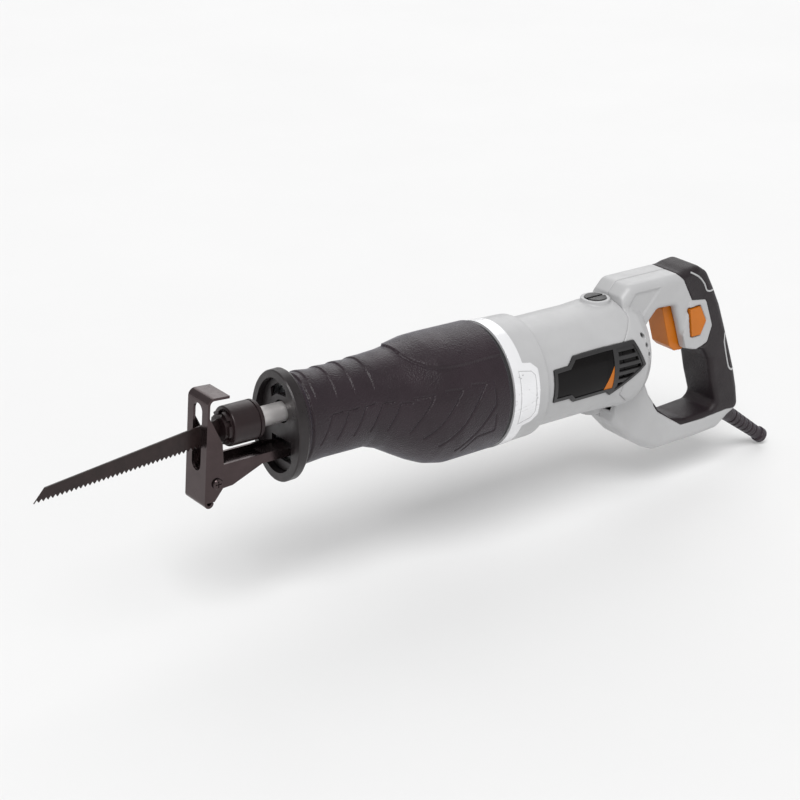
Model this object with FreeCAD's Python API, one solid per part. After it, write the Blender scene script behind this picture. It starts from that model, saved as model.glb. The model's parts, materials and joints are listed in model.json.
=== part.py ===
"""Reciprocating saw. Millimetres. +X runs from the blade to the handle, +Z is up.

The stroke axis is the X axis.

The origin is on the stroke axis, in the front face of the shoe.
"""
import FreeCAD, Part
import os
from math import cos, sin, tan, radians

# ---- driving dimensions ----
STROKE = 20.0              # plunger travel, front dead centre at rest
PLUNGER_R = 6.75
RUN_FIT = 0.05             # radial clearance of shafts in bushes and bearings
BODY_Z = -19.0             # height of the motor axis below the stroke axis
SHOE_TILT = 3.3            # the shoe leans back about its pivot
SHEET = 1.8                # shoe sheet thickness
SHOE_HALF_W = 11.9
BRACKET_HALF_W = SHOE_HALF_W - SHEET - 0.3    # the bracket slides between the shoe's cheeks
PIVOT_IN_SHOE = (9.0, -32.0)
PIVOT_X = PIVOT_IN_SHOE[0] * cos(radians(SHOE_TILT)) + PIVOT_IN_SHOE[1] * sin(radians(SHOE_TILT))
PIVOT_Z = PIVOT_IN_SHOE[1] * cos(radians(SHOE_TILT)) - PIVOT_IN_SHOE[0] * sin(radians(SHOE_TILT))
CHUCK_FRONT, CHUCK_REAR, CHUCK_R = 20.5, 43.6, 13.5
NOSE_FRONT, NOSE_REAR = 59.5, 68.0
BOOT_FRONT, BOOT_REAR = 68.4, 225.5
COLLAR_FRONT, COLLAR_REAR, COLLAR_TAB = 229.0, 240.0, 252.0
GEAR_X = 175.0             # crank gear axis
GEAR_R = 30.0              # pitch radius of the crank gear
PINION_R = 7.5
CRANK_R = STROKE / 2
BRUSH_X = 338.0            # place of the two brushes along the armature
HANDLE_W = 17.0            # half width of the handle
WALL = 3.0
GRIP_SKIN = 2.5            # thickness of the soft rubber on the grip
TRIGGER_TRAVEL = 6.0
STRAIN_START = (472.0, -93.0)
STRAIN_BEND = (488.0, -103.0)
STRAIN_END = (529.0, -132.0)

V = FreeCAD.Vector
NODES = {}


def add(name, *solids):
    NODES[name] = solids[0] if len(solids) == 1 else Part.makeCompound(list(solids))


def block(x0, x1, y0, y1, z0, z1):
    return Part.makeBox(x1 - x0, y1 - y0, z1 - z0, V(x0, y0, z0))


def rod_x(x0, x1, r, z=0.0, y=0.0):
    return Part.makeCylinder(r, x1 - x0, V(x0, y, z), V(1, 0, 0))


def rod_y(y0, y1, r, x, z):
    return Part.makeCylinder(r, y1 - y0, V(x, y0, z), V(0, 1, 0))


def rod_z(z0, z1, r, x, y=0.0):
    return Part.makeCylinder(r, z1 - z0, V(x, y, z0), V(0, 0, 1))


def tube_x(x0, x1, r_out, r_in, z=0.0):
    return rod_x(x0, x1, r_out, z).cut(rod_x(x0 - 1, x1 + 1, r_in, z))


def polygon_face(points):
    return Part.Face(Part.makePolygon([V(x, 0, z) for x, z in points] + [V(points[0][0], 0, points[0][1])]))


def plate(points, y0, y1):
    """A side profile in the XZ plane, extruded from y0 to y1."""
    face = polygon_face(points)
    face.translate(V(0, y0, 0))
    return face.extrude(V(0, y1 - y0, 0))


def rounded(points, radius):
    """A closed XZ wire through the points with every corner rounded."""
    edges = []
    ends = []
    count = len(points)
    for i in range(count):
        before = V(points[i - 1][0], 0, points[i - 1][1])
        at = V(points[i][0], 0, points[i][1])
        after = V(points[(i + 1) % count][0], 0, points[(i + 1) % count][1])
        into, out = before - at, after - at
        half = into.getAngle(out) / 2
        reach = min(radius / tan(half), into.Length * 0.45, out.Length * 0.45)
        start = at + V(into).normalize() * reach
        end = at + V(out).normalize() * reach
        bow = reach * tan(half)
        middle_dir = (V(into).normalize() + V(out).normalize()).normalize()
        middle = at + middle_dir * (bow / sin(half) - bow)
        ends.append((start, middle, end))
    for i in range(count):
        start, middle, end = ends[i]
        edges.append(Part.Arc(start, middle, end).toShape())
        edges.append(Part.LineSegment(end, ends[(i + 1) % count][0]).toShape())
    return Part.Wire(edges)


def ellipse_wire(x, half_y, half_z, z):
    return Part.Wire([Part.Ellipse(V(x, 0, z + half_z), V(x, half_y, z), V(x, 0, z)).toShape()])


def oval_loft(sections, inset=0.0):
    """A solid through upright ellipses (x, half width, half height, centre height)."""
    wires = [ellipse_wire(x, y - inset, z - inset, c) for x, y, z, c in sections]
    return Part.makeLoft(wires, True, True)


def mirrored(shape):
    return shape.mirror(V(0, 0, 0), V(0, 1, 0))


# Outer form of the saw from the nose to the rear of the motor housing.
NECK = [(68.4, 25.4, 32.6, -8.0), (90, 24.6, 31.0, -7.7), (124, 26.4, 31.0, -7.7), (136, 29, 33.5, -9.4),
        (149, 32.5, 37.4, -13.0), (161, 36.4, 41.5, -15.7), (173, 39.9, 45.1, -17.6),
        (186, 41.8, 46.6, -19.0), (229, 42.2, 46.0, -18.9)]
LIP = [(229.0, 42.4, 46.0, -18.9), (261.0, 41.8, 45.0, BODY_Z)]
BARREL = [(255.0, 38.2, 40.6, BODY_Z), (318, 38.2, 40.5, BODY_Z), (335, 39.2, 41.5, BODY_Z),
          (348, 39.6, 42.0, -19.5), (358, 38.2, 41.5, -20.0), (366, 33.5, 39.0, -20.5),
          (372, 26.0, 34.0, -21.0)]
HANDLE = [(338, 8), (346, 22), (357, 33.5), (410, 33.5), (416, 35), (427, 36), (437, 29.5), (444.5, 17),
          (453, 1), (461, -19), (474.5, -55), (479.5, -72), (483, -90), (471.5, -95.5), (460, -103.5),
          (436, -105), (394, -105.5), (383, -101), (366, -90), (352, -76), (341, -62), (334, -20)]
FINGER_GAP = [(386, 10), (375, -2), (372, -20), (372, -38), (379, -46), (384, -57), (396, -73), (410, -83.5),
              (424, -87), (451, -85.5), (456.5, -81), (449.5, -61), (444.5, -42), (438, -33), (428, -31.5),
              (417, -27.5), (411, -10), (404, 9)]
RUBBER_ZONE = [(405, 60), (406, 33), (411, 28), (421, 10.5), (435, 8.5), (443.5, -13), (439.5, -27),
               (428, -31), (412, -27), (405, -45), (405, -66), (388, -66), (393, -73), (419, -90),
               (440, -90.5), (468, -88.5), (500, -92), (480, 60)]
# Raised land round the lock button.
POD = [(419, 9), (435, 7), (443, -13.5), (439, -26), (428, -30), (411, -25)]
HOUSING_ZONE = [(220, 80), (349.8, 80), (349.8, 14), (334, -2), (336, -40), (348.8, -50), (348.8, -100),
                (220, -100)]


def make_shoe():
    """Bent sheet shoe: slotted face, top flange, two cheeks and a bottom lip."""
    bend = 5.0
    face = block(0, SHEET, -SHOE_HALF_W, SHOE_HALF_W, -45.0, 22.0)
    corner = rod_y(-SHOE_HALF_W, SHOE_HALF_W, bend, bend, 22.0)
    corner = corner.cut(rod_y(-30, 30, bend - SHEET, bend, 22.0))
    corner = corner.common(block(0, bend, -30, 30, 22.0, 22.0 + bend))
    flange = block(bend, 16.0, -SHOE_HALF_W, SHOE_HALF_W, 27.0 - SHEET, 27.0)
    lip_r = 3.4
    lip = rod_y(-SHOE_HALF_W, SHOE_HALF_W, lip_r, lip_r, -45.0)
    lip = lip.cut(rod_y(-30, 30, lip_r - SHEET, lip_r, -45.0))
    lip = lip.common(block(0, 2 * lip_r, -30, 30, -50.0, -45.0))
    cheek_points = [(SHEET - 0.2, 14), (12, -5), (13.6, -22), (13.6, -36), (7.5, -44.4), (SHEET - 0.2, -44.4)]
    cheek = plate(cheek_points, -SHOE_HALF_W, -SHOE_HALF_W + SHEET)
    cheek = cheek.cut(rod_y(-30, 30, 2.5 + RUN_FIT, *PIVOT_IN_SHOE))
    shoe = face.fuse([corner, flange, lip, cheek, mirrored(cheek)])
    slot = block(-1, 6, -5.3, 5.3, -19.7, 15.7)
    slot = slot.fuse([Part.makeCylinder(5.3, 7, V(-1, 0, z), V(1, 0, 0)) for z in (-19.7, 15.7)])
    shoe = shoe.cut(slot).removeSplitter()
    shoe.rotate(V(0, 0, 0), V(0, 1, 0), SHOE_TILT)
    return shoe


def make_bracket():
    """Forked channel behind the shoe, running back as a flat slotted bar into the nose."""
    side_y = BRACKET_HALF_W
    side_points = [(7.2, -38.3), (20, -37.5), (43, -28.2), (72, -28.2), (72, -23.8), (52, -21.5),
                   (12, -21.5), (7.0, -26.6)]
    side = plate(side_points, -side_y, -side_y + SHEET)
    side = side.fuse(rod_y(-side_y, -side_y + SHEET, 6.0, PIVOT_X, PIVOT_Z))
    side = side.cut(rod_y(-30, 30, 2.5 + RUN_FIT, PIVOT_X, PIVOT_Z))
    web = block(22, 72, -side_y, side_y, -27.8, -25.8)
    bar = block(46, 119, -side_y, side_y, -28.2, -23.8)
    slots = [block(x, x + 14, -3.2, 3.2, -30, -20) for x in (78, 100)]
    return side.fuse([mirrored(side), web, bar]).cut(Part.makeCompound(slots)).removeSplitter()


def make_pivot_pin():
    """Pivot rivet with a domed, cross-slotted head on each side."""
    head_y = SHOE_HALF_W + 0.15
    pin = rod_y(-head_y, head_y, 2.5, PIVOT_X, PIVOT_Z)
    head = rod_y(-head_y - 1.6, -head_y, 3.7, PIVOT_X, PIVOT_Z)
    head = head.makeChamfer(0.5, [head.Edges[2]])
    cross = [block(PIVOT_X - 2.2, PIVOT_X + 2.2, -head_y - 2, -head_y - 0.8, PIVOT_Z - 0.4, PIVOT_Z + 0.4),
             block(PIVOT_X - 0.4, PIVOT_X + 0.4, -head_y - 2, -head_y - 0.8, PIVOT_Z - 2.2, PIVOT_Z + 2.2)]
    head = head.cut(Part.makeCompound(cross))
    return pin.fuse([head, mirrored(head)])


def make_blade():
    """Tapered blade with a slanted tip and a row of fine teeth on its lower edge."""
    thickness = 1.2
    tooth_pitch = 3.2
    tooth_depth = 2.1
    tip_low, heel_low = V(-116, 0, -18), V(12, 0, -9.6)
    edge = heel_low - tip_low
    count = int(edge.Length / tooth_pitch)
    points = [(36, 5.5), (14, 6.2), (-108, -9.0)]
    for i in range(count):
        root = tip_low + edge * (i / count)
        points.append((root.x, root.z))
        valley = tip_low + edge * ((i + 0.62) / count)
        points.append((valley.x, valley.z + tooth_depth))
    points += [(heel_low.x, heel_low.z), (16, -5.5), (36, -5.5)]
    blade = plate(points, -thickness / 2, thickness / 2)
    return blade.cut(rod_y(-2, 2, 2.0, 25.0, 0.0))


def make_chuck():
    slot = block(10, 37, -0.65, 0.65, -6.0, 6.6)
    body = rod_x(16.0, 44.0, 9.0).fuse(rod_x(37.2, 44.0, 10.2))
    bore = rod_x(38.0, 45.0, PLUNGER_R)
    pin_hole = rod_y(-8, 8, 1.6, 25.0, 0.0)
    add("chuck_body", body.cut(Part.makeCompound([slot, bore, pin_hole])))
    add("chuck_lock_pin", rod_y(-7.9, 7.9, 1.55, 25.0, 0.0))
    collar = rod_x(CHUCK_FRONT, CHUCK_REAR - 1.5, CHUCK_R).fuse(rod_x(17.5, CHUCK_FRONT, 11.2))
    rear_edge = rod_x(CHUCK_REAR - 1.5, CHUCK_REAR, CHUCK_R - 0.8)
    collar = collar.fuse(rear_edge).cut(rod_x(16, 37.0, 9.0 + RUN_FIT))
    collar = collar.cut(rod_x(37.0, CHUCK_REAR + 1, 10.6))
    cuts = [tube_x(CHUCK_REAR - 4.0, CHUCK_REAR - 3.0, CHUCK_R + 1, CHUCK_R - 0.8)]
    for i in range(6):
        notch = block(17, 19.6, 8.6, 13, -2.0, 2.0)
        notch.rotate(V(0, 0, 0), V(1, 0, 0), 30 + 60 * i)
        cuts.append(notch)
    collar = collar.cut(Part.makeCompound(cuts))
    front = [e for e in collar.Edges if abs(e.BoundBox.XMin - CHUCK_FRONT) < 0.01]
    rim = [e for e in front if e.BoundBox.YMax > CHUCK_R - 0.01]
    add("chuck_collar", collar.makeFillet(1.2, rim))


def make_plunger():
    """Stroke rod with the slotted yoke that the crank pin drives."""
    add("plunger", rod_x(38.2, 176.0, PLUNGER_R).cut(block(157.9, 172.1, -8, 8, -7, -4.0)))
    yoke = block(158, 172, -5.3, 5.3, -36.5, -4.05).cut(block(159.8, 170.2, -8, 8, -34.5, -6.5))
    add("crank_yoke", yoke)


def make_nose():
    """Metal nose ring with its recessed front plate."""
    front = [(NOSE_FRONT, 28.2, 38.2, -9.6), (NOSE_FRONT + 1.0, 28.8, 38.8, -9.6), (66.5, 28.8, 38.8, -9.4)]
    ring = oval_loft(front[:2]).fuse(oval_loft(front[1:]))
    ring = ring.fuse(oval_loft([(66.5, 28.8, 38.8, -9.4), (NOSE_REAR, 27.8, 37.4, -9.0)]))
    ring = ring.cut(oval_loft([(50, 24.2, 33.8, -9.0), (66.0, 23.2, 32.6, -9.0)]))
    ring = ring.cut(oval_loft([(65, 21.0, 28.5, -8.0), (75, 21.0, 28.5, -8.0)]))
    add("nose_ring", ring.removeSplitter())
    front_plate = oval_loft([(64.2, 22.9, 32.0, -9.0), (65.9, 22.8, 31.9, -9.0)])
    corners = [(12.5, 13.0), (4, 19.0), (-4.5, 19.2), (-5.5, 12.0), (5.5, 10.8), (11.5, 6.5), (12.5, 13.0)]
    window = Part.makePolygon([V(60, y, z) for y, z in corners])
    arm_gap = block(60, 70, -11.2, 11.2, -34.0, -19.0)
    cuts = [rod_x(60, 70, PLUNGER_R + 1.2), Part.Face(window).extrude(V(10, 0, 0)), arm_gap]
    add("front_plate", front_plate.cut(Part.makeCompound(cuts)))
    add("plunger_seal", tube_x(68.2, 71.8, 12.0, PLUNGER_R + 0.06))


def make_gear_case():
    """Cast case inside the boot, with two bulkheads that hold the plunger bushes."""
    skin = 2.6
    outer = oval_loft(NECK, skin)
    wall = skin + 3.4
    inner = oval_loft([(60, 18.5, 25.0, -8.0)] + [(x, y - wall, z - wall, c) for x, y, z, c in NECK[1:]])
    bulkheads = [block(72, 76, -60, 60, -90, 60), block(126, 130, -60, 60, -90, 60)]
    bush_tubes = [rod_x(72, 92, 12.0), rod_x(118.5, 136, 11.5)]
    boss = rod_y(18.8, 60.0, 17.0, GEAR_X, BODY_Z)
    case = outer.cut(inner.cut(Part.makeCompound(bulkheads)).cut(Part.makeCompound(bush_tubes)).cut(boss))
    bar_y = BRACKET_HALF_W + 0.35
    cuts = [rod_x(68, 140, 9.0), block(70, 123, -bar_y, bar_y, -28.55, -23.45),
            rod_y(18.0, 27.9, 14.0, GEAR_X, BODY_Z), rod_y(18.0, 33.0, 8.0, GEAR_X, BODY_Z)]
    case = case.cut(Part.makeCompound(cuts)).cut(block(60, 69.5, -40, 40, -60, 60))
    case = case.cut(block(224.5, 240, -60, 60, -90, 60))
    add("gear_case", case.removeSplitter())
    bushes = [tube_x(x0, x1, 8.95, PLUNGER_R + RUN_FIT) for x0, x1 in ((72.2, 91.5), (119.0, 135.5))]
    add("plunger_bushes", *bushes)
    boot = oval_loft([(BOOT_FRONT, 25.4, 32.6, -8.0)] + NECK[1:-1] + [(BOOT_REAR, 42.2, 46.0, -18.9)])
    boot = boot.cut(oval_loft(NECK, skin - 0.05))
    boot = boot.cut(oval_loft([(60, 22.85, 30.05, -8.0), (90, 22.0, 28.45, -7.7)]))
    groove = oval_loft([(71.5, 40, 50, -8), (74.5, 40, 50, -8)])
    groove = groove.cut(oval_loft([(71, 23.9, 30.9, -8), (75, 23.9, 30.9, -8)]))
    add("rubber_boot", boot.cut(groove))
    add("case_screws", *[screw_x(219.0, 234.0, 2.0, y, z) for y, z in case_screw_places()])


def case_screw_places():
    """(y, z) of the four screws that hold the gear case and motor together."""
    return [(34.0 * cos(radians(a)), BODY_Z + 37.5 * sin(radians(a))) for a in (45, 135, 225, 315)]


def screw_x(x0, x1, r, y, z):
    return rod_x(x0, x1, r, z, y).fuse(rod_x(x1, x1 + 2.5, r * 1.8, z, y))


def make_bearing_plate():
    """Plate between the gear case and the motor that carries the front armature bearing."""
    plate_body = oval_loft([(224.8, 38.6, 42.4, -18.9), (229.0, 38.6, 42.4, -18.9)])
    boss = rod_x(217, 229.0, 16.0, BODY_Z)
    plate_body = plate_body.fuse(boss).cut(rod_x(216.9, 228.0, 11.0, BODY_Z))
    plate_body = plate_body.cut(rod_x(210, 240, 7.0, BODY_Z))
    holes = [rod_x(220, 232, 2.05, z, y) for y, z in case_screw_places()]
    add("bearing_plate", plate_body.cut(Part.makeCompound(holes)))
    seal = oval_loft([(225.7, 41.0, 44.8, -18.9), (228.8, 41.0, 44.8, -18.9)])
    add("joint_seal", seal.cut(oval_loft([(220, 38.7, 42.5, -18.9), (232, 38.7, 42.5, -18.9)])))


def make_drive():
    """Armature with its pinion, and the crank gear that it turns."""
    rotor_z = BODY_Z
    add("armature_shaft", rod_x(211.0, 362.0, 4.0, rotor_z).fuse(rod_x(213, 216.5, 6.0, rotor_z)))
    pinion = Part.makeCone(5.1, PINION_R - 0.35, 9.0, V(201.5, 0, rotor_z), V(1, 0, 0))
    pinion = pinion.fuse(rod_x(210.5, 213, 6.6, rotor_z)).cut(rod_x(205, 215, 4.0, rotor_z))
    cuts = []
    for i in range(10):
        cut = block(200, 210.8, -0.8, 0.8, 4.4, 9)
        cut.translate(V(0, 0, rotor_z))
        cut.rotate(V(0, 0, rotor_z), V(1, 0, 0), 36 * i)
        cuts.append(cut)
    add("pinion", pinion.cut(Part.makeCompound(cuts)))
    gear = rod_y(PINION_R + 0.9, 15.0, GEAR_R - 0.2, GEAR_X, BODY_Z)
    gear = gear.fuse(rod_y(15.0, 18.0, 11.0, GEAR_X, BODY_Z))
    gear = gear.cut(rod_y(0, 20, 6.0, GEAR_X, BODY_Z))
    cuts = []
    for i in range(40):
        cut = block(GEAR_X + 23, GEAR_X + 32, 5, 11.0, BODY_Z - 0.9, BODY_Z + 0.9)
        cut.rotate(V(GEAR_X, 0, BODY_Z), V(0, 1, 0), 9 * i)
        cuts.append(cut)
    add("crank_gear", gear.cut(Part.makeCompound(cuts)))
    add("crank_pin", rod_y(6.3, PINION_R + 0.9, 5.0, GEAR_X - CRANK_R, BODY_Z))
    spindle = rod_y(PINION_R + 1.0, 32.5, 6.0, GEAR_X, BODY_Z)
    add("gear_spindle", spindle)
    bearing = rod_y(18.6, 27.8, 13.95, GEAR_X, BODY_Z).cut(rod_y(10, 40, 6.0 + RUN_FIT, GEAR_X, BODY_Z))
    add("gear_bearing", bearing)
    add("armature_bearings", tube_x(217.2, 227.8, 10.95, 4.0 + RUN_FIT, rotor_z),
        tube_x(350.0, 359.0, 10.95, 4.0 + RUN_FIT, rotor_z))
    core = rod_x(256.0, 310.0, 23.0, rotor_z)
    slots = []
    for i in range(12):
        slot = block(250, 312, -1.6, 1.6, 14.0, 24.0)
        slot.translate(V(0, 0, rotor_z))
        slot.rotate(V(0, 0, rotor_z), V(1, 0, 0), 30 * i)
        slots.append(slot)
    add("armature_core", core.cut(Part.makeCompound(slots)).cut(rod_x(240, 320, 4.0, rotor_z)))
    rear_winding = tube_x(310.2, 322.0, 20.0, 4.0, rotor_z)
    add("armature_windings", rear_winding, tube_x(246.5, 255.8, 20.0, 4.0, rotor_z))
    commutator = tube_x(BRUSH_X - 7.0, BRUSH_X + 7.0, 13.0, 4.0, rotor_z)
    lines = []
    for i in range(24):
        line = block(BRUSH_X - 8, BRUSH_X + 8, -0.3, 0.3, 12.2, 14.0)
        line.translate(V(0, 0, rotor_z))
        line.rotate(V(0, 0, rotor_z), V(1, 0, 0), 15 * i)
        lines.append(line)
    add("commutator", commutator.cut(Part.makeCompound(lines)))
    hub = tube_x(231.5, 242.5, 9.0, 4.0, rotor_z).fuse(tube_x(231.5, 233.5, 30.0, 4.0, rotor_z))
    blades = []
    for i in range(16):
        vane = block(233.5, 242.0, -0.8, 0.8, 12.0, 29.5)
        vane.translate(V(0, 0, rotor_z))
        vane.rotate(V(0, 0, rotor_z), V(1, 0, 0), 22.5 * i)
        blades.append(vane)
    add("cooling_fan", hub.fuse(blades))


def make_stator():
    outer = rod_x(258.0, 308.0, 34.5, BODY_Z).cut(rod_x(250, 312, 23.6, BODY_Z))
    windows = [block(250, 312, -12, 12, BODY_Z + s * 25.5 - 4.0, BODY_Z + s * 25.5 + 4.0) for s in (-1, 1)]
    add("stator_core", outer.cut(Part.makeCompound(windows)))
    coils = []
    for s in (-1, 1):
        coils.append(block(252.0, 314.0, -11.7, 11.7, BODY_Z + s * 26.7 - 2.6, BODY_Z + s * 26.7 + 2.6))
    add("field_coils", *coils)


def make_collar():
    """Bright ring round the front of the motor housing, with a long tab on each side."""
    grow = 0.35
    outer = oval_loft([(x, y + grow, z + grow, c) for x, y, z, c in LIP])
    ring = outer.common(block(COLLAR_FRONT, COLLAR_REAR, -60, 60, -90, 60))
    tab = plate([(230, 8), (247, 5.5), (COLLAR_TAB, 1), (COLLAR_TAB, -33), (247, -38), (230, -42)], -60, 60)
    return ring.fuse(outer.common(tab)).removeSplitter()


def thicken(face, half):
    """A face in the XZ plane, extruded by half each way."""
    shifted = face.copy()
    shifted.translate(V(0, -half, 0))
    return shifted.extrude(V(0, 2 * half, 0))


def soft_slab(outline, gap, half, outer_radius, gap_radius):
    """The D-handle as a slab with rounded rims, outside and round the finger gap."""
    slab = thicken(Part.Face(outline), half)
    slab = slab.makeFillet(outer_radius, [e for e in slab.Edges if e.BoundBox.YLength < 1e-4])
    slab = slab.cut(thicken(Part.Face(gap), half + 1)).Solids[0]
    rim = []
    for edge in slab.Edges:
        middle = edge.valueAt((edge.FirstParameter + edge.LastParameter) / 2)
        if edge.BoundBox.YLength < 1e-4 and Part.Vertex(V(middle.x, 0, middle.z)).distToShape(gap)[0] < 0.01:
            rim.append(edge)
    return slab.makeFillet(gap_radius, rim)


def make_housings():
    """Motor housing, two handle shells, grip rubber and all that sits in their skins."""
    lip = oval_loft(LIP)
    barrel = oval_loft(BARREL)
    outline = rounded(HANDLE, 8.0)
    gap = rounded(FINGER_GAP, 5.0)
    handle = soft_slab(outline, gap, HANDLE_W, 6.0, 4.0)
    front_zone = plate(HOUSING_ZONE, -70, 70)
    rubber_zone = plate(RUBBER_ZONE, -70, 70)
    core_gap = gap.makeOffset2D(GRIP_SKIN)
    core = soft_slab(outline.makeOffset2D(-GRIP_SKIN), core_gap, HANDLE_W - GRIP_SKIN, 4.5, 2.5)
    hollow_face = Part.Face(outline.makeOffset2D(-GRIP_SKIN - WALL - 0.5))
    hollow_face = hollow_face.cut(Part.Face(gap.makeOffset2D(GRIP_SKIN + WALL + 0.5)))
    hollow = thicken(hollow_face, HANDLE_W - GRIP_SKIN - WALL)
    bore = oval_loft([(200, 35.0, 37.2, BODY_Z), (318, 35.0, 37.2, BODY_Z)])
    bore = bore.fuse(oval_loft([(318, 35.0, 37.2, BODY_Z), (345, 36.2, 38.3, -19.5), (357, 34.8, 37.5, -20),
                                (367, 23.0, 32.0, -20.5)]))
    collar = make_collar()
    add("collar_ring", collar.cut(lip))
    skin = lip.fuse(barrel)
    housing = skin.common(front_zone).cut(bore).cut(rod_x(228, 244, 33.5, BODY_Z))
    housing = housing.cut(block(220, COLLAR_FRONT + 0.2, -60, 60, -90, 60))
    screws = [rod_x(228, 238, 3.7, z, y) for y, z in case_screw_places()]
    housing = housing.cut(Part.makeCompound(screws))

    rear = barrel.cut(front_zone).fuse(handle.cut(rubber_zone).cut(front_zone)).fuse(core.common(rubber_zone))
    pod = plate(POD, -HANDLE_W - 1.2, HANDLE_W + 1.2)
    rear = rear.fuse(pod.cut(plate(FINGER_GAP, -30, 30)))
    rear = rear.cut(hollow).cut(bore)
    rear = rear.fuse(tube_x(349.0, 358.0, 14.0, 11.0, BODY_Z))
    spider = block(355.0, 358.5, -36.3, 36.3, BODY_Z - 3, BODY_Z + 3)
    rear = rear.fuse(spider.cut(rod_x(345, 365, 11.5, BODY_Z)))

    badge_cut = make_badges()
    housing = housing.cut(badge_cut)
    rear = rear.cut(badge_cut)
    brush_cuts = make_brushes()
    housing = housing.fuse(brush_bosses().cut(bore).common(front_zone)).cut(brush_cuts)
    rear = rear.cut(brush_cuts)
    bosses, screw_holes = make_screws()
    rear = rear.fuse(bosses.Solids).cut(screw_holes)
    rear = rear.cut(make_vents()).cut(make_controls())
    rear = rear.cut(make_cable())
    add("motor_housing", housing)
    half = 200
    add("handle_shell_left", rear.common(block(200, 600, -half, 0, -half, half)))
    add("handle_shell_right", rear.common(block(200, 600, 0, half, -half, half)))
    grip = handle.common(rubber_zone).cut(core).cut(pod)
    grip = grip.cut(plate([(402, 14), (402, -33), (430, -33), (430, 14)], -12, 12)).cut(make_cable())
    add("grip_rubber", max(grip.Solids, key=lambda s: s.Volume))


def brush_bosses():
    top = rod_z(BODY_Z + 34.0, 24.6, 11.0, BRUSH_X)
    bottom = rod_z(-64.6, BODY_Z - 34.0, 9.5, BRUSH_X)
    return top.fuse(bottom)


def make_brushes():
    """Brush caps, brushes and holders, above and below the commutator; returns the cavity they need."""
    x = BRUSH_X
    caps, brushes, holders, springs, cuts = [], [], [], [], []
    for side, reach in ((1, 44.2), (-1, 46.0)):
        cap = rod_z(reach - 4.0, reach, 8.0, x)
        cap = cap.cut(block(x - 9, x + 9, -1.1, 1.1, reach - 1.6, reach + 1))
        holder = block(x - 5.2, x + 5.2, -7.2, 7.2, 16.0, reach - 4.1)
        holder = holder.cut(block(x - 3.3, x + 3.3, -5.3, 5.3, 10, 60))
        brush = block(x - 3.2, x + 3.2, -5.2, 5.2, 13.2, 27.0)
        coil = rod_z(27.1, reach - 4.2, 2.6, x).cut(rod_z(0, 60, 1.8, x))
        cavity = block(x - 5.3, x + 5.3, -7.3, 7.3, 12, reach - 4.0)
        cavity = cavity.fuse(rod_z(reach - 4.1, reach + 3, 8.1, x))
        stores = ((cap, caps), (brush, brushes), (holder, holders), (coil, springs), (cavity, cuts))
        for shape, store in stores:
            if side < 0:
                shape = shape.mirror(V(0, 0, 0), V(0, 0, 1))
            store.append(shape.translated(V(0, 0, BODY_Z)))
    add("brush_caps", *caps)
    add("brushes", *brushes)
    add("brush_holders", *holders)
    add("brush_springs", *springs)
    return Part.makeCompound(cuts)


BADGE = [(268.5, -5.4), (282.5, -5), (288, 0.5), (345, 0.9), (355, -18.5), (324, -37), (320, -33.4),
         (288, -33.4), (284, -29.5), (268.5, -29.3)]
PANEL = [(271.2, -7.9), (283.6, -7.5), (289.2, -2), (324.3, -1.7), (324.3, -30.8), (289.3, -30.9),
         (285.2, -27), (271.2, -26.8)]
GRILLE = [(327.0, -1.8), (343.6, -1.6), (352, -18.2), (327, -33)]
WEDGE = [(324.4, -13.5), (324.4, -30.9), (316.8, -30.9), (317.6, -28.6)]
# (top of the slot, rear end)
GRILLE_SLOTS = [(-4.6, 344.0), (-10.4, 346.6), (-16.2, 349.4), (-22.0, 343.0), (-27.8, 333.5)]


def side_skin(points, depth, proud):
    """A patch of the barrel's side skin, cut out by a side profile."""
    outer = oval_loft([(x, y + proud, z + proud, c) for x, y, z, c in BARREL])
    inner = oval_loft([(x, y + proud - depth, z + proud - depth, c) for x, y, z, c in BARREL])
    patch = outer.cut(inner).common(plate(points, -60, 0))
    return patch


def make_badges():
    """Badge frame, blank badge panel, vent grille and accent wedge on each side."""
    frame_hole = plate(PANEL, -60, 0).fuse(plate(GRILLE, -60, 0))
    frame = side_skin(BADGE, 2.2, 0.9)
    frame = frame.cut(frame_hole).cut(plate(WEDGE, -60, 0))
    wedge_tool = plate(WEDGE, -60, 0)
    panel = side_skin(PANEL, 1.6, 0.3).cut(wedge_tool)
    grille = side_skin(GRILLE, 1.6, 0.3).cut(wedge_tool)
    slits = []
    for z, end in GRILLE_SLOTS:
        slits.append(plate([(329, z), (end, z), (end + 1, z - 3.2), (329, z - 3.2)], -60, 0))
    grille = grille.cut(Part.makeCompound(slits))
    wedge = side_skin(WEDGE, 1.5, 0.5)
    made = {"badge_frames": frame, "badge_panels": panel, "vent_grilles": grille, "badge_wedges": wedge}
    for name, shape in made.items():
        add(name, *(shape.Solids + mirrored(shape).Solids))
    seat = side_skin(BADGE, 5.35, 4.0)
    return seat.fuse(mirrored(seat))


def make_vents():
    """Air slots in the rear of the barrel, beside the finger gap."""
    slots = []
    for i in range(3):
        x, z = 354.0 + 3.0 * i, 4.0 - 7.5 * i
        slot = plate([(x, z), (x + 4.5, z - 3.2), (x + 4.5, z - 6.4), (x, z - 3.2)], -60, -20)
        slots += [slot, mirrored(slot)]
    return Part.makeCompound(slots)


def face_plate(wire, half):
    """A wire in the XZ plane, filled and extruded by half each way."""
    return thicken(Part.Face(wire), half)


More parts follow.
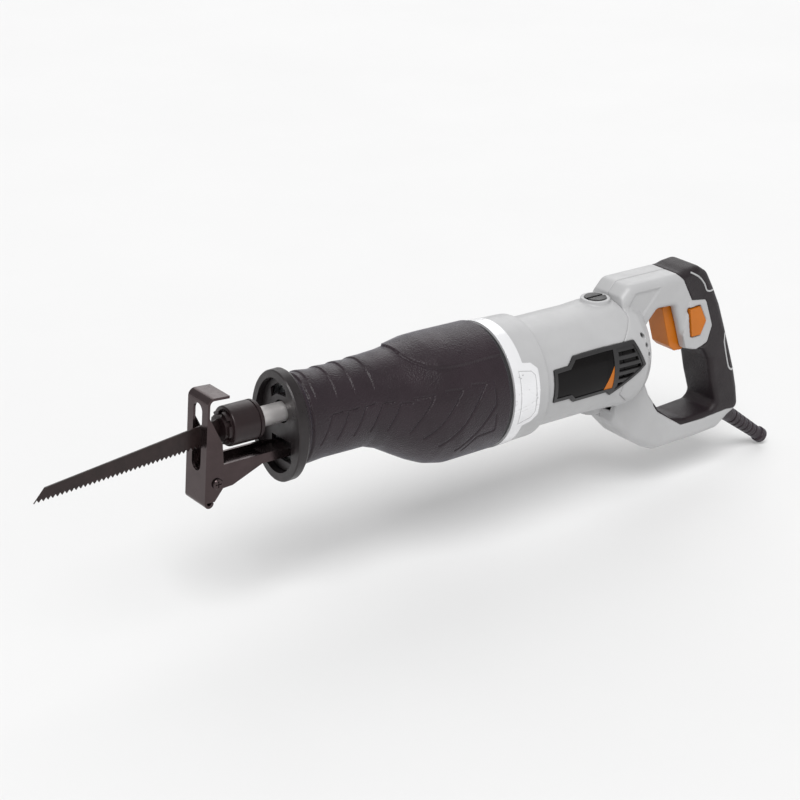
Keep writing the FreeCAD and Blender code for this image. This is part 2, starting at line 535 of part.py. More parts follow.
def make_controls():
    """Trigger, switch and lock button; returns the openings they need in the shells."""
    trigger_wire = rounded([(397, 8), (413, 9.5), (424, -26), (421, -31), (413, -30.5), (408, -26)], 2.5)
    spring_z = -6.0
    stem = block(410, 425, -5, 5, -14, 2)
    trigger = face_plate(trigger_wire, 9.5).fuse(stem)
    add("trigger", trigger.cut(rod_x(416, 427, 3.4, spring_z)))
    switch = plate([(431.6, 7), (441, 7), (448, -10), (452, -24), (431.6, -24)], -9, 9)
    add("switch_body", switch)
    add("trigger_spring", tube_x(423.4, 431.2, 3.0, 2.2, spring_z))

    button_x, button_z = 426.5, -7.0
    face_y = -HANDLE_W - 2.4
    back_y = -HANDLE_W + 2.5
    button = plate([(417, 4.5), (428.5, 5), (435.5, -8), (430.5, -18.5), (421, -18.5)], face_y, back_y)
    button = button.fuse(rod_y(back_y, back_y + 1.8, 3.8, button_x, button_z))
    add("lock_button", button.cut(rod_y(back_y - 1.0, 0, 3.0, button_x, button_z)))
    spring = rod_y(back_y + 2.3, -9.7, 2.6, button_x, button_z)
    add("lock_spring", spring.cut(rod_y(-20, 0, 1.9, button_x, button_z)))

    trigger_way = block(406, 432, -5.4, 5.4, -14.5, 2.5)
    grown = face_plate(trigger_wire.makeOffset2D(0.5), 10.0)
    steps = [grown.translated(V(TRIGGER_TRAVEL * k / 2, 0, 0)) for k in (1, 2)]
    way_points = [(416.5, 5), (428.8, 5.5), (436.1, -8), (430.9, -19), (420.7, -19)]
    button_way = plate(way_points, face_y - 2, back_y + 3.5)
    button_way = button_way.fuse(rod_y(back_y, -6, 4.2, button_x, button_z))
    return trigger_way.fuse([grown, button_way] + steps)


def make_cable():
    """Strain relief and cable clamp; returns the hole they need in the handle corner."""
    start, bend, end = (V(p[0], 0, p[1]) for p in (STRAIN_START, STRAIN_BEND, STRAIN_END))
    first, second = bend - start, end - bend
    along = V(second).normalize()
    root = Part.makeCone(7.0, 6.2, first.Length, start, first)
    tail = Part.makeCone(6.2, 5.0, second.Length, bend, second)
    cap = Part.makeCylinder(6.2, 5.0, end - along * 5.0, along)
    body = root.fuse([tail, Part.makeSphere(6.2, bend), cap])
    ribs = []
    rib_pitch = 6.4
    for i in range(6):
        at = bend + along * (3.0 + rib_pitch * i)
        ribs.append(Part.makeCylinder(9, 1.6, at, along).cut(Part.makeCylinder(4.9, 1.6, at, along)))
    body = body.cut(Part.makeCompound(ribs))
    body = body.cut(Part.makeCylinder(3.5, 20.0, end - along * 20.0, along))
    add("strain_relief", body)
    clamp_legs = [block(459, 465, y, y + 3, -90, -87.5) for y in (-9, 6)]
    add("cable_clamp", block(459, 465, -9, 9, -92.5, -90).fuse(clamp_legs))
    return Part.makeCone(7.1, 6.3, first.Length, start, first).fuse(Part.makeSphere(6.3, bend))


def make_screws():
    """Shell screws driven from the right-hand side; returns their bosses and their sunk holes."""
    places = [(362, 24), (392, 21), (377, -85), (438, -96)]
    head_y = HANDLE_W - 2.0
    screws = [rod_y(-10, head_y, 1.7, x, z).fuse(rod_y(head_y - 2.2, head_y, 3.4, x, z)) for x, z in places]
    sockets = Part.makeCompound([rod_y(head_y - 1.2, head_y + 1, 1.3, x, z) for x, z in places])
    add("shell_screws", *[screw.cut(sockets) for screw in screws])
    bosses = Part.makeCompound([rod_y(1 - HANDLE_W, HANDLE_W - 1, 4.6, x, z) for x, z in places])
    sinks = [rod_y(head_y, HANDLE_W + 1, 3.5, x, z) for x, z in places]
    return bosses, Part.makeCompound(screws + sinks)


make_chuck()
add("blade", make_blade())
add("shoe", make_shoe())
add("shoe_bracket", make_bracket())
add("shoe_pivot_pin", make_pivot_pin())
make_plunger()
make_nose()
make_gear_case()
make_bearing_plate()
make_drive()
make_stator()
make_housings()

os.makedirs("parts", exist_ok=True)
for name, shape in NODES.items():
    shape.exportStep("parts/" + name + ".step")
    box = shape.BoundBox
    size = [round(v, 1) for v in (box.XMin, box.XMax, box.YMin, box.YMax, box.ZMin, box.ZMax)]
    print(name, len(shape.Solids), shape.isValid(), round(shape.Volume), size)
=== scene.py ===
"""Reciprocating saw: looks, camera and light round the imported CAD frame.

The scene is in metres. Outlines, sections and names that end in _mm are in millimetres.
"""
import bpy
import bmesh
import json
import math
import numpy as np
from mathutils import Matrix, Vector
from mathutils.bvhtree import BVHTree


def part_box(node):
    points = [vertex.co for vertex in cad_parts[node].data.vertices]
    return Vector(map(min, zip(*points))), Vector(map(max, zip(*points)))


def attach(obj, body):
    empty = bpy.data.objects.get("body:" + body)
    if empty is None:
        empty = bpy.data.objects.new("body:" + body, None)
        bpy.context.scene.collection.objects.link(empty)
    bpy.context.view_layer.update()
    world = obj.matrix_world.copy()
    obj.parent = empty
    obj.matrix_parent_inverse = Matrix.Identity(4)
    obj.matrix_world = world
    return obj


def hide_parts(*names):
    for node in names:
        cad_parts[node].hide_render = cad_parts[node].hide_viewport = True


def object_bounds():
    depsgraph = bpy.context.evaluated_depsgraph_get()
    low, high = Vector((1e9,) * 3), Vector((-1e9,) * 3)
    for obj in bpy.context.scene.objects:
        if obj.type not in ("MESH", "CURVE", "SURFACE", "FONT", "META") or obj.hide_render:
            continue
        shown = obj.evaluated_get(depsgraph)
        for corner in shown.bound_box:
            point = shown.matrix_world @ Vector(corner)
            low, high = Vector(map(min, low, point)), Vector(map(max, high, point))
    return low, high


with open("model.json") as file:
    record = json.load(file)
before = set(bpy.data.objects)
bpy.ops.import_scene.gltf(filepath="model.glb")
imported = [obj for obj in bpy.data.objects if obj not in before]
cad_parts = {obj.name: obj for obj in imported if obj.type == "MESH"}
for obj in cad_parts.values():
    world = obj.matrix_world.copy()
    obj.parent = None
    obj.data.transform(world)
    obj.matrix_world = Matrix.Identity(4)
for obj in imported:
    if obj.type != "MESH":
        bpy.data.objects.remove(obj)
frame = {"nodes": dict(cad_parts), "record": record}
CAD_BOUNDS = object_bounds()
NODES = frame["nodes"]
MM = 0.001
BODY = "saw_body"
GRAIN_DEPTH = 0.0004       # metres


# ---------------------------------------------------------------- materials
def new_material(name):
    mat = bpy.data.materials.new(name)
    mat.use_nodes = True
    return mat, mat.node_tree.nodes, mat.node_tree.links


def noise(nodes, links, scale, detail=4.0, rough=0.6):
    """Noise in object coordinates."""
    coords = nodes.new("ShaderNodeTexCoord")
    tex = nodes.new("ShaderNodeTexNoise")
    tex.inputs["Scale"].default_value = scale
    tex.inputs["Detail"].default_value = detail
    tex.inputs["Roughness"].default_value = rough
    links.new(coords.outputs["Object"], tex.inputs["Vector"])
    return tex


def ramp(nodes, links, source, stops):
    """A colour ramp between two (position, colour) stops."""
    node = nodes.new("ShaderNodeValToRGB")
    node.color_ramp.elements[0].position = stops[0][0]
    node.color_ramp.elements[0].color = (*stops[0][1], 1)
    node.color_ramp.elements[1].position = stops[1][0]
    node.color_ramp.elements[1].color = (*stops[1][1], 1)
    links.new(source, node.inputs["Fac"])
    return node


def scaled(colour, factor):
    return tuple(min(1.0, c * factor) for c in colour)


def surface(name, colour, rough, metal=0.0, vary=0.12, vary_scale=60.0, grain=0.1, grain_scale=900.0,
            rough_vary=0.08, coat=0.0, specular=0.5):
    """A moulded, painted or machined surface: mottled colour, uneven gloss and fine grain."""
    mat, nodes, links = new_material(name)
    shader = nodes["Principled BSDF"]
    shader.inputs["Metallic"].default_value = metal
    shader.inputs["Coat Weight"].default_value = coat
    shader.inputs["Coat Roughness"].default_value = 0.12
    shader.inputs["Specular IOR Level"].default_value = specular
    mottle = noise(nodes, links, vary_scale)
    tints = [(0.3, scaled(colour, 1 - vary)), (0.7, scaled(colour, 1 + vary))]
    tint = ramp(nodes, links, mottle.outputs["Fac"], tints)
    links.new(tint.outputs["Color"], shader.inputs["Base Color"])
    gloss = ramp(nodes, links, noise(nodes, links, vary_scale * 2.3).outputs["Fac"],
                 [(0.3, (rough - rough_vary,) * 3), (0.7, (rough + rough_vary,) * 3)])
    links.new(gloss.outputs["Color"], shader.inputs["Roughness"])
    bump = nodes.new("ShaderNodeBump")
    bump.inputs["Strength"].default_value = grain
    bump.inputs["Distance"].default_value = GRAIN_DEPTH
    links.new(noise(nodes, links, grain_scale, 6.0, 0.7).outputs["Fac"], bump.inputs["Height"])
    links.new(bump.outputs["Normal"], shader.inputs["Normal"])
    return mat


def leathery(name, colour, rough, cell_scale, strength, sheen):
    """Grained rubber: small raised cells over the mottled base, with a faint cool sheen."""
    mat = surface(name, colour, rough, vary=0.16, vary_scale=45.0, grain=0.25, grain_scale=1500.0,
                  rough_vary=0.07, specular=0.34)
    nodes, links = mat.node_tree.nodes, mat.node_tree.links
    shader = nodes["Principled BSDF"]
    shader.inputs["Sheen Weight"].default_value = sheen
    shader.inputs["Sheen Roughness"].default_value = 0.35
    shader.inputs["Sheen Tint"].default_value = (0.55, 0.60, 0.95, 1)
    coords = nodes.new("ShaderNodeTexCoord")
    cells = nodes.new("ShaderNodeTexVoronoi")
    cells.inputs["Scale"].default_value = cell_scale
    links.new(coords.outputs["Object"], cells.inputs["Vector"])
    bump = nodes.new("ShaderNodeBump")
    bump.inputs["Strength"].default_value = strength
    bump.inputs["Distance"].default_value = GRAIN_DEPTH
    links.new(cells.outputs["Distance"], bump.inputs["Height"])
    fine = next(n for n in nodes if n.type == "BUMP" and n != bump)
    links.new(bump.outputs["Normal"], fine.inputs["Normal"])
    return mat


def brushed(name, colour, rough, stretch=(4.0, 300.0, 300.0)):
    """Ground steel with fine lines along X."""
    mat = surface(name, colour, rough, metal=0.7, vary=0.08, grain=0.02, rough_vary=0.04)
    nodes, links = mat.node_tree.nodes, mat.node_tree.links
    coords = nodes.new("ShaderNodeTexCoord")
    mapping = nodes.new("ShaderNodeMapping")
    mapping.inputs["Scale"].default_value = stretch
    lines = nodes.new("ShaderNodeTexNoise")
    lines.inputs["Scale"].default_value = 6.0
    links.new(coords.outputs["Object"], mapping.inputs["Vector"])
    links.new(mapping.outputs["Vector"], lines.inputs["Vector"])
    bump = nodes.new("ShaderNodeBump")
    bump.inputs["Strength"].default_value = 0.12
    bump.inputs["Distance"].default_value = 0.0002
    links.new(lines.outputs["Fac"], bump.inputs["Height"])
    fine = next(n for n in nodes if n.type == "BUMP" and n != bump)
    links.new(bump.outputs["Normal"], fine.inputs["Normal"])
    return mat


MATERIALS = {
    "shell_grey": surface("moulded_grey", (0.46, 0.46, 0.465), 0.36, vary=0.03, grain_scale=2200.0),
    "ring_silver": surface("silver_lacquer", (0.83, 0.83, 0.845), 0.20, metal=0.15, vary=0.02, grain=0.03,
                           coat=0.5),
    "boot_rubber": leathery("boot_rubber", (0.0215, 0.0130, 0.0175), 0.34, 900.0, 0.6, 0.10),
    "grip_rubber": leathery("grip_rubber", (0.0165, 0.0115, 0.0135), 0.46, 1300.0, 0.45, 0.02),
    "accent_orange": surface("orange_plastic", (0.53, 0.150, 0.008), 0.34, vary=0.05, grain=0.06,
                             grain_scale=2000.0, specular=0.28),
    "shoe_metal": surface("dark_nickel", (0.070, 0.052, 0.053), 0.20, metal=0.9, vary_scale=90.0),
    "nose_metal": surface("dark_casting", (0.022, 0.018, 0.019), 0.33, metal=0.3, vary=0.2, grain=0.30,
                          grain_scale=1400.0),
    "chuck_black": surface("black_oxide", (0.020, 0.0110, 0.0120), 0.34, metal=0.3, vary=0.15, grain=0.2),
    "bright_steel": brushed("ground_steel", (0.84, 0.81, 0.80), 0.36),
    "blade_steel": surface("blade_lacquer", (0.021, 0.0115, 0.0110), 0.36, metal=0.3, vary=0.25,
                           vary_scale=120.0, grain=0.2, grain_scale=1200.0),
    "cast_alloy": surface("cast_alloy", (0.50, 0.51, 0.52), 0.5, metal=0.9, vary=0.1, grain=0.5,
                          grain_scale=1200.0),
    "lamination": surface("lamination", (0.16, 0.16, 0.17), 0.45, metal=0.8, grain=0.3),
    "copper": surface("copper", (0.55, 0.22, 0.09), 0.35, metal=0.9, grain=0.3),
    "brass": surface("brass", (0.62, 0.44, 0.18), 0.3, metal=1.0),
    "carbon": surface("carbon", (0.02, 0.02, 0.02), 0.6, grain=0.4),
    "black_plastic": surface("black_plastic", (0.022, 0.021, 0.022), 0.42, vary=0.15, grain=0.15,
                             grain_scale=2000.0),
    # The black gloss also colours the wall behind the louvres as painted shade.
    "badge_black": surface("badge_gloss_and_painted_shade", (0.0035, 0.0028, 0.0030), 0.22, vary=0.2, grain=0.01,
                           specular=0.15),
}
# Lighter bevel colours: part edge wear, part painted highlight where edges catch the light.
WEAR_AND_HIGHLIGHT_EDGE = surface("wear_and_highlight_edge", (0.22, 0.19, 0.185), 0.28, metal=1.0, vary=0.35, vary_scale=400.0,
                    grain=0.2)
WEAR_AND_HIGHLIGHT_CAST_EDGE = surface("wear_and_highlight_cast_edge", (0.090, 0.078, 0.078), 0.34, metal=0.6, vary=0.4, vary_scale=500.0,
                    grain=0.2)
# Bevel width in mm and edge material of each CAD node in view; the edge materials are lighter than the
# parts, part wear and part painted highlight along the edges.
BEVELS = {"shoe": (0.35, WEAR_AND_HIGHLIGHT_EDGE), "shoe_bracket": (0.3, WEAR_AND_HIGHLIGHT_EDGE), "shoe_pivot_pin": (0.2, WEAR_AND_HIGHLIGHT_EDGE),
          "chuck_collar": (0.3, WEAR_AND_HIGHLIGHT_CAST_EDGE), "chuck_body": (0.3, WEAR_AND_HIGHLIGHT_CAST_EDGE), "nose_ring": (0.45, WEAR_AND_HIGHLIGHT_CAST_EDGE),
          "front_plate": (0.25, None), "badge_frames": (0.3, None), "badge_panels": (0.2, None),
          "vent_grilles": (0.15, None), "badge_wedges": (0.25, None), "brush_caps": (0.35, None)}
BEVEL_ANGLE = 35           # degrees; flatter edges stay as they are


def dress(obj, slot):
    obj.data.materials.clear()
    obj.data.materials.append(MATERIALS[slot])


def dress_cad_nodes():
    """Every CAD node takes its slot's material, and the ones in view get a small bevel."""
    slots = {row["node"]: row["material_slot"] for row in frame["record"]["subparts"]}
    for name, obj in NODES.items():
        dress(obj, slots[name])
        if name not in BEVELS:
            continue
        width, edge_material = BEVELS[name]
        bevel = obj.modifiers.new("edge", "BEVEL")
        bevel.width = width * MM
        bevel.segments = 2
        bevel.limit_method = "ANGLE"
        bevel.angle_limit = math.radians(BEVEL_ANGLE)
        # The bevel faces take the lighter edge material: wear and painted highlight.
        if edge_material:
            obj.data.materials.append(edge_material)
            bevel.material = 1


# ---------------------------------------------------------------- mesh helpers
def finish_piece(obj, slot, body, *replaced):
    """Gives a piece its material and body, and hides the CAD nodes that it stands for."""
    dress(obj, slot)
    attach(obj, body)
    if replaced:
        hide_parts(*replaced)


def piece_from(name, verts, faces):
    mesh = bpy.data.meshes.new(name)
    mesh.from_pydata(verts, [], faces)
    mesh.update()
    obj = bpy.data.objects.new(name, mesh)
    bpy.context.scene.collection.objects.link(obj)
    return obj


def coordinates(mesh):
    co = np.empty(len(mesh.vertices) * 3)
    mesh.vertices.foreach_get("co", co)
    return co.reshape(-1, 3)


def set_coordinates(mesh, co):
    mesh.vertices.foreach_set("co", co.ravel())
    mesh.update()


def softened(name, node, voxel_mm, passes):
    """A copy of a CAD node, remeshed and smoothed so that its edges are moulded ones."""
    mesh = NODES[node].data.copy()
    bm = bmesh.new()
    bm.from_mesh(mesh)
    bmesh.ops.remove_doubles(bm, verts=bm.verts, dist=1e-6)
    bm.to_mesh(mesh)
    bm.free()
    obj = bpy.data.objects.new(name, mesh)
    bpy.context.scene.collection.objects.link(obj)
    remesh = obj.modifiers.new("remesh", "REMESH")
    remesh.mode = "VOXEL"
    remesh.voxel_size = voxel_mm * MM
    smooth = obj.modifiers.new("smooth", "SMOOTH")
    smooth.factor = 0.5
    smooth.iterations = passes
    graph = bpy.context.evaluated_depsgraph_get()
    made = bpy.data.meshes.new_from_object(obj.evaluated_get(graph))
    obj.modifiers.clear()
    obj.data = made
    made.polygons.foreach_set("use_smooth", np.ones(len(made.polygons), dtype=bool))
    keep_inside_cad(made, node)
    return obj


def keep_inside_cad(mesh, node):
    """Holds a mesh within the box of the CAD node that it copies."""
    low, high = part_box(node)
    co = coordinates(mesh)
    set_coordinates(mesh, np.clip(co, np.array(low), np.array(high)))


def step(value, width):
    """0 below zero, 1 above width, smooth between."""
    t = np.clip(value / width, 0, 1)
    return t * t * (3 - 2 * t)


def line_distance(x, y, points):
    """Distance from each (x, y) to an open polyline."""
    best = np.full(x.shape, 1e9)
    for (ax, ay), (bx, by) in zip(points[:-1], points[1:]):
        dx, dy = bx - ax, by - ay
        t = np.clip(((x - ax) * dx + (y - ay) * dy) / (dx * dx + dy * dy), 0, 1)
        best = np.minimum(best, np.hypot(x - ax - t * dx, y - ay - t * dy))
    return best


def inside(x, y, points):
    """Even-odd test of each (x, y) against a closed polygon."""
    hit = np.zeros(x.shape, dtype=bool)
    for (ax, ay), (bx, by) in zip(points, points[1:] + points[:1]):
        if ay == by:
            continue
        crosses = ((ay > y) != (by > y)) & (x < (bx - ax) * (y - ay) / (by - ay) + ax)
        hit ^= crosses
    return hit


# ---------------------------------------------------------------- rubber boot
# (x, half width, half height, height of the centre)
BOOT_SECTIONS = [(68.4, 25.4, 32.6, -8.0), (72, 25.0, 32.2, -8.0), (90, 24.6, 31.0, -7.7),
                 (124, 26.4, 31.0, -7.7), (136, 29, 33.5, -9.4), (149, 32.5, 37.4, -13.0),
                 (161, 36.4, 41.5, -15.7), (173, 39.9, 45.1, -17.6), (186, 41.8, 46.6, -19.0),
                 (225.5, 42.2, 46.0, -18.9)]
BOOT_ROWS, BOOT_COLUMNS, BOOT_INNER_ROWS = 360, 420, 40
BOOT_WALL = 2.4
BOOT_RADIUS = 38.0         # mean radius that turns angles into lengths along the skin
SECTION_BLEND = 15         # rows over which one section runs into the next
GROOVE_DEPTH, GROOVE_HALF = 0.85, 0.95
RING_STARTS = (78.0, 94.0, 108.0, 123.0)
RING_HEIGHT, RING_EDGE, RING_CREST, RING_RUN = 0.9, 0.8, 1.0, 11.0
RING_REACH = 62.0          # degrees from the top where a ring fades out
PAD_START, PAD_HEIGHT, PAD_SLOPE, PAD_FRONT_SLOPE = 152.0, 1.3, 1.4, 1.2
PAD_MOAT, PAD_MOAT_AT, PAD_MOAT_HALF = 0.45, 0.7, 0.9
PAD_EDGE = [(152.0, 0.0), (153.5, 20.0), (158.0, 31.0), (165.0, 40.0), (174.0, 45.0), (190.0, 46.0),
            (230.0, 45.0)]     # (x, degrees from the top)
PAD_NOWHERE = -60.0        # degrees, in front of the pad
NECK_X, NECK_DEPTH, NECK_HALF = 72.8, 1.3, 1.5
END_ROUND, END_DROP = 0.8, 0.5


def boot_grooves():
    """Grooves on one flank as polylines of (x, degrees from the top)."""
    lines = [[(150, 71), (165, 68), (153, 96), (148, 110)], [(173, 66), (186, 66), (168, 98), (158, 114)],
             [(194, 64), (206, 66), (182, 104), (170, 120)], [(213, 66), (213, 86), (200, 106), (184, 126)],
             [(213, 96), (214, 112), (199, 114), (190, 128)]]
    for start in range(80, 133, 13):
        lines.append([(start, 112), (start + 9, 76), (start + 17, 75)])
    return lines


def boot_profile(x):
    """Half width, half height and centre height of the boot at x, smooth between the named sections."""
    table = np.array(BOOT_SECTIONS)
    kernel = np.hanning(SECTION_BLEND)
    kernel /= kernel.sum()
    smooth = []
    for column in (1, 2, 3):
        padded = np.pad(np.interp(x, table[:, 0], table[:, column]), SECTION_BLEND // 2, mode="edge")
        smooth.append(np.convolve(padded, kernel, mode="valid")[:, None])
    return smooth


def along_skin(angle):
    """Length round the boot for an angle in degrees."""
    return np.radians(angle) * BOOT_RADIUS


def pad_relief(x, angle):
    """The raised pad on top, with a shallow moat round its edge."""
    pad = np.array(PAD_EDGE)
    edge = np.interp(x, pad[:, 0], pad[:, 1], left=PAD_NOWHERE)
    gap = np.minimum(along_skin(edge - np.abs(angle)), (x - PAD_START) * PAD_FRONT_SLOPE)
    moat = 1 - step(np.abs(gap + PAD_MOAT_AT), PAD_MOAT_HALF)
    return PAD_HEIGHT * step(gap, PAD_SLOPE) - PAD_MOAT * moat


def boot_relief(x, angle):
    """Height of the skin over its plain section."""
    lift = np.zeros_like(x)
    along = along_skin(np.abs(angle))
    for line in boot_grooves():
        path = [(line_x, along_skin(line_angle)) for line_x, line_angle in line]
        lift -= GROOVE_DEPTH * (1 - step(line_distance(x, along, path), GROOVE_HALF))
    fade = np.sqrt(np.maximum(0, 1 - np.abs(angle) / RING_REACH))
    for start in RING_STARTS:
        fall = 1 - step(x - start - RING_CREST, RING_RUN)
        lift += RING_HEIGHT * step(x - start, RING_EDGE) * fall * fade
    lift += pad_relief(x, angle)
    lift -= NECK_DEPTH * (1 - step(np.abs(x - NECK_X), NECK_HALF))
    end = np.minimum(x - BOOT_SECTIONS[0][0], BOOT_SECTIONS[-1][0] - x)
    rounded = np.minimum(lift, 0) - END_DROP * (1 - end / END_ROUND) ** 2
    return np.where(end < END_ROUND, rounded, lift)


def oval_grid(x, half_width, half_height, middle, angle):
    """Points on ovals across X, at angles in degrees from the top."""
    radians = np.radians(angle)
    return np.stack([x, half_width * np.sin(radians), middle + half_height * np.cos(radians)], -1)


def boot():
    """A closed skin: the outside runs forwards, the inside runs back, and each ring of points is an oval."""
    row_x = np.linspace(BOOT_SECTIONS[0][0], BOOT_SECTIONS[-1][0], BOOT_ROWS)
    half_w, half_h, middle = boot_profile(row_x)
    x, angle = np.meshgrid(row_x, np.linspace(-180, 180, BOOT_COLUMNS, endpoint=False), indexing="ij")
    lift = boot_relief(x, angle)
    outer = oval_grid(x, half_w + lift, half_h + lift, middle, angle)
    back = np.linspace(BOOT_ROWS - 1, 0, BOOT_INNER_ROWS).astype(int)
    inner = oval_grid(x[back], half_w[back] - BOOT_WALL, half_h[back] - BOOT_WALL, middle[back], angle[back])
    points = np.concatenate([outer, inner]).reshape(-1, 3) * MM
    rings = BOOT_ROWS + BOOT_INNER_ROWS
    i, j = np.meshgrid(np.arange(rings), np.arange(BOOT_COLUMNS), indexing="ij")
    next_i, next_j = (i + 1) % rings, (j + 1) % BOOT_COLUMNS
    corners = [(next_i, j), (next_i, next_j), (i, next_j), (i, j)]
    faces = np.stack([a * BOOT_COLUMNS + b for a, b in corners], -1).reshape(-1, 4)
    obj = piece_from("boot_skin", points.tolist(), faces.tolist())
    obj.data.polygons.foreach_set("use_smooth", np.ones(len(obj.data.polygons), dtype=bool))
    finish_piece(obj, "boot_rubber", BODY, "rubber_boot")


# ---------------------------------------------------------------- shells and grip
def press_region(mesh, polygon, depth_mm, edge_mm, side_min_mm):
    """Sinks a side region of a shell by a depth, with a soft edge."""
    co = coordinates(mesh)
    x, y, z = (co / MM).T
    signed = line_distance(x, z, polygon + polygon[:1])
    signed = np.where(inside(x, z, polygon), signed, -signed)
    amount = depth_mm * step(signed, edge_mm) * (np.abs(y) > side_min_mm)
    co[:, 1] -= np.sign(co[:, 1]) * amount * MM
    set_coordinates(mesh, co)


def groove_line(mesh, points, depth_mm, half_width_mm, side_min_mm):
    """Cuts a soft groove along a side polyline."""
    co = coordinates(mesh)
    x, y, z = (co / MM).T
    amount = depth_mm * (1 - step(line_distance(x, z, points), half_width_mm)) * (np.abs(y) > side_min_mm)
    co[:, 1] -= np.sign(co[:, 1]) * amount * MM
    set_coordinates(mesh, co)


# Side outlines, as (x, z).
SIDE_RECESS = [(362, 27.5), (388, 27.5), (384, 22), (371, 8), (354, 16)]
TAB_BORDER = [(235, 2), (246, 0), (249, -3), (249, -30), (246, -34), (235, -37), (235, 2)]
LOUVRES = [(325.5, -2.2), (343.6, -2.2), (353.0, -18.4), (326, -34.5)]
LOUVRE_SIDE = 28.0         # half width beyond which a wall counts as the outer side
PIPES = [[(418, 32.5), (426, 28), (432.4, 21.5), (436.2, 15), (443.5, 14)],
         [(460, -24), (459.5, -31), (466.5, -53), (473, -56)]]
PIPE_RADIUS = 0.75
PIPE_STEPS = 8             # points on each span of a pipe


def paint_shade_behind_louvres(obj, polygon, side_min_mm):
    """Paints the outer wall faces behind the louvres with the black gloss material: painted shade in the
    slots.
    """
    mesh = obj.data
    mesh.materials.append(MATERIALS["badge_black"])
    centres = np.empty(len(mesh.polygons) * 3)
    mesh.polygons.foreach_get("center", centres)
    x, y, z = (centres.reshape(-1, 3) / MM).T
    # Faces inside the louvre outline on the outer side get painted shade.
    painted_shade_faces = inside(x, z, polygon) & (np.abs(y) > side_min_mm)
    mesh.polygons.foreach_set("material_index", painted_shade_faces.astype(np.int32))
    mesh.update()


def shells():
    for side in ("left", "right"):
        obj = softened("rear_shell_" + side, "handle_shell_" + side, voxel_mm=0.75, passes=5)
        press_region(obj.data, SIDE_RECESS, depth_mm=1.0, edge_mm=1.4, side_min_mm=15.0)
        finish_piece(obj, "shell_grey", BODY, "handle_shell_" + side)
        # Black behind the louvres: painted shade.
        paint_shade_behind_louvres(obj, LOUVRES, LOUVRE_SIDE)
    front = softened("front_housing", "motor_housing", voxel_mm=0.7, passes=4)
    finish_piece(front, "shell_grey", BODY, "motor_housing")
    # Black behind the louvres: painted shade.
    paint_shade_behind_louvres(front, LOUVRES, LOUVRE_SIDE)
    ring = softened("silver_ring", "collar_ring", voxel_mm=0.35, passes=3)
    groove_line(ring.data, TAB_BORDER, depth_mm=0.5, half_width_mm=0.8, side_min_mm=20.0)
    finish_piece(ring, "ring_silver", BODY, "collar_ring")


def grip():
    obj = softened("soft_grip", "grip_rubber", voxel_mm=0.6, passes=4)
    for pipe in PIPES:
        groove_line(obj.data, pipe, depth_mm=0.7, half_width_mm=1.4, side_min_mm=15.0)
    finish_piece(obj, "grip_rubber", BODY, "grip_rubber")
    corners = [polygon.vertices for polygon in obj.data.polygons]
    tree = BVHTree.FromPolygons([vertex.co for vertex in obj.data.vertices], corners)
    for index, pipe in enumerate(PIPES):
        for side, sign in (("left", -1), ("right", 1)):
            piping("grip_piping_%s_%d" % (side, index + 1), pipe, sign, tree)


def surface_point(tree, x, z, sign):
    """Outermost point of a body on its side at (x, z)."""
    outside_mm = 100
    start = Vector((x, sign * outside_mm, z)) * MM
    hit = tree.ray_cast(start, Vector((0, -sign, 0)))
    return hit[0]


def tube_mesh(name, points, radius):
    """A closed round tube along a smooth path through the points."""
    curve = bpy.data.curves.new(name, "CURVE")
    curve.dimensions = "3D"
    spline = curve.splines.new("POLY")
    spline.points.add(len(points) - 1)
    for target, point in zip(spline.points, points):
        target.co = (*point, 1)
    curve.bevel_depth = radius
    curve.bevel_resolution = 4
    curve.use_fill_caps = True
    holder = bpy.data.objects.new(name + "_path", curve)
    bpy.context.scene.collection.objects.link(holder)
    graph = bpy.context.evaluated_depsgraph_get()
    mesh = bpy.data.meshes.new_from_object(holder.evaluated_get(graph))
    bpy.data.objects.remove(holder)
    obj = bpy.data.objects.new(name, mesh)
    bpy.context.scene.collection.objects.link(obj)
    return obj


def rounded_path(points, per_span):
    """Points along a Catmull-Rom curve through the given (x, z) points."""
    table = np.array([points[0], *points, points[-1]], dtype=float)
    path = []
    for a, b, c, d in zip(table[:-3], table[1:-2], table[2:-1], table[3:]):
        for t in np.linspace(0, 1, per_span, endpoint=False):
            square = (2 * a - 5 * b + 4 * c - d) * t ** 2
            cube = (3 * b - a - 3 * c + d) * t ** 3
            path.append((2 * b + (c - a) * t + square + cube) / 2)
    path.append(table[-2])
    return path


def piping(name, points, sign, tree):
    """A pale inlaid strip that follows the side of the grip."""
    path = [surface_point(tree, x, z, sign) for x, z in rounded_path(points, PIPE_STEPS)]
    obj = tube_mesh(name, [point for point in path if point], PIPE_RADIUS * MM)
    finish_piece(obj, "shell_grey", BODY)


def pulled_in(mesh, depth_mm):
    """Moves every point inwards along its normal, for running clearance."""
    normals = np.empty(len(mesh.vertices) * 3)
    mesh.vertices.foreach_get("normal", normals)
    set_coordinates(mesh, coordinates(mesh) - normals.reshape(-1, 3) * depth_mm * MM)


def controls():
    trigger = softened("trigger_blade", "trigger", voxel_mm=0.35, passes=6)
    finish_piece(trigger, "accent_orange", "trigger", "trigger")
    button = softened("lock_slider", "lock_button", voxel_mm=0.3, passes=5)
    pulled_in(button.data, depth_mm=0.4)
    finish_piece(button, "accent_orange", "lock_button", "lock_button")
    relief = softened("cord_boot", "strain_relief", voxel_mm=0.35, passes=3)
    finish_piece(relief, "boot_rubber", BODY, "strain_relief")


# ---------------------------------------------------------------- camera, light, floor
CAMERA_AT = Vector((-0.6043, -1.0019, 0.5101))
CAMERA_AZIMUTH = -127.3987  # degrees from +X round Z, towards the camera
CAMERA_ELEVATION = 22.6009
CAMERA_ROLL = 1.1858
LENS_MM, SENSOR_MM = 90.0, 36.0
NEAR_CLIP = 0.05
FLOOR_REACH = 60.0
FLOOR_GAP = 0.001          # so that the floor never meets the lowest point of the tool
FLOOR_GREY = (0.80, 0.80, 0.80)
SKY_STRENGTH = 0.50


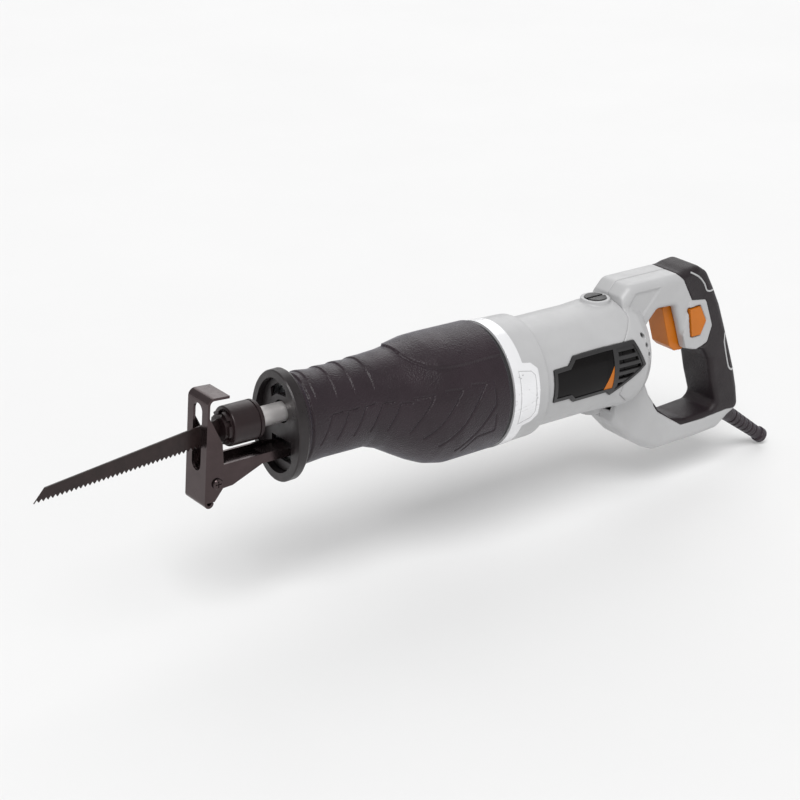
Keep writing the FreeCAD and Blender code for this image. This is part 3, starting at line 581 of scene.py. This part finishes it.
def camera_axes():
    """Right, up and back of the camera as unit vectors."""
    azimuth, elevation, roll = (math.radians(a) for a in (CAMERA_AZIMUTH, CAMERA_ELEVATION, CAMERA_ROLL))
    level = Vector((-math.sin(azimuth), math.cos(azimuth), 0))
    outwards = Vector((math.cos(azimuth), math.sin(azimuth), 0))
    back = outwards * math.cos(elevation) + Vector((0, 0, math.sin(elevation)))
    upright = back.cross(level)
    right = level * math.cos(roll) + upright * math.sin(roll)
    return right, back.cross(right), back


def camera():
    obj = bpy.data.objects.new("camera", bpy.data.cameras.new("camera"))
    obj.data.lens = LENS_MM
    obj.data.sensor_width = SENSOR_MM
    obj.data.clip_start = NEAR_CLIP
    obj.matrix_world = Matrix.Translation(CAMERA_AT) @ Matrix(camera_axes()).transposed().to_4x4()
    bpy.context.scene.collection.objects.link(obj)
    bpy.context.scene.camera = obj


def paper_floor():
    z = CAD_BOUNDS[0][2] - FLOOR_GAP
    signs = [(-1, -1), (1, -1), (1, 1), (-1, 1)]
    floor = piece_from("floor", [(a * FLOOR_REACH, b * FLOOR_REACH, z) for a, b in signs], [(0, 1, 2, 3)])
    paper = surface("floor_paper", FLOOR_GREY, 0.8, vary=0.01, vary_scale=3.0, grain=0.02)
    floor.data.materials.append(paper)


def white_sky():
    world = bpy.data.worlds.new("studio")
    bpy.context.scene.world = world
    world.use_nodes = True
    background = world.node_tree.nodes["Background"]
    background.inputs["Color"].default_value = (1.0, 1.0, 1.0, 1)
    background.inputs["Strength"].default_value = SKY_STRENGTH


def soft_sun(name, towards, strength, spread):
    """A broad soft light from a direction, the same over the whole floor; its spread is in degrees."""
    light = bpy.data.lights.new(name, "SUN")
    light.energy = strength
    light.angle = math.radians(spread)
    obj = bpy.data.objects.new(name, light)
    obj.rotation_euler = Vector(towards).to_track_quat("Z", "Y").to_euler()
    bpy.context.scene.collection.objects.link(obj)


def stage():
    camera()
    bpy.context.scene.view_settings.view_transform = "Standard"
    paper_floor()
    white_sky()
    soft_sun("key", towards=(-0.38, -0.42, 0.82), strength=2.1, spread=35)
    soft_sun("rim", towards=(0.55, 0.60, 0.58), strength=0.7, spread=50)


dress_cad_nodes()
boot()
shells()
grip()
controls()
stage()
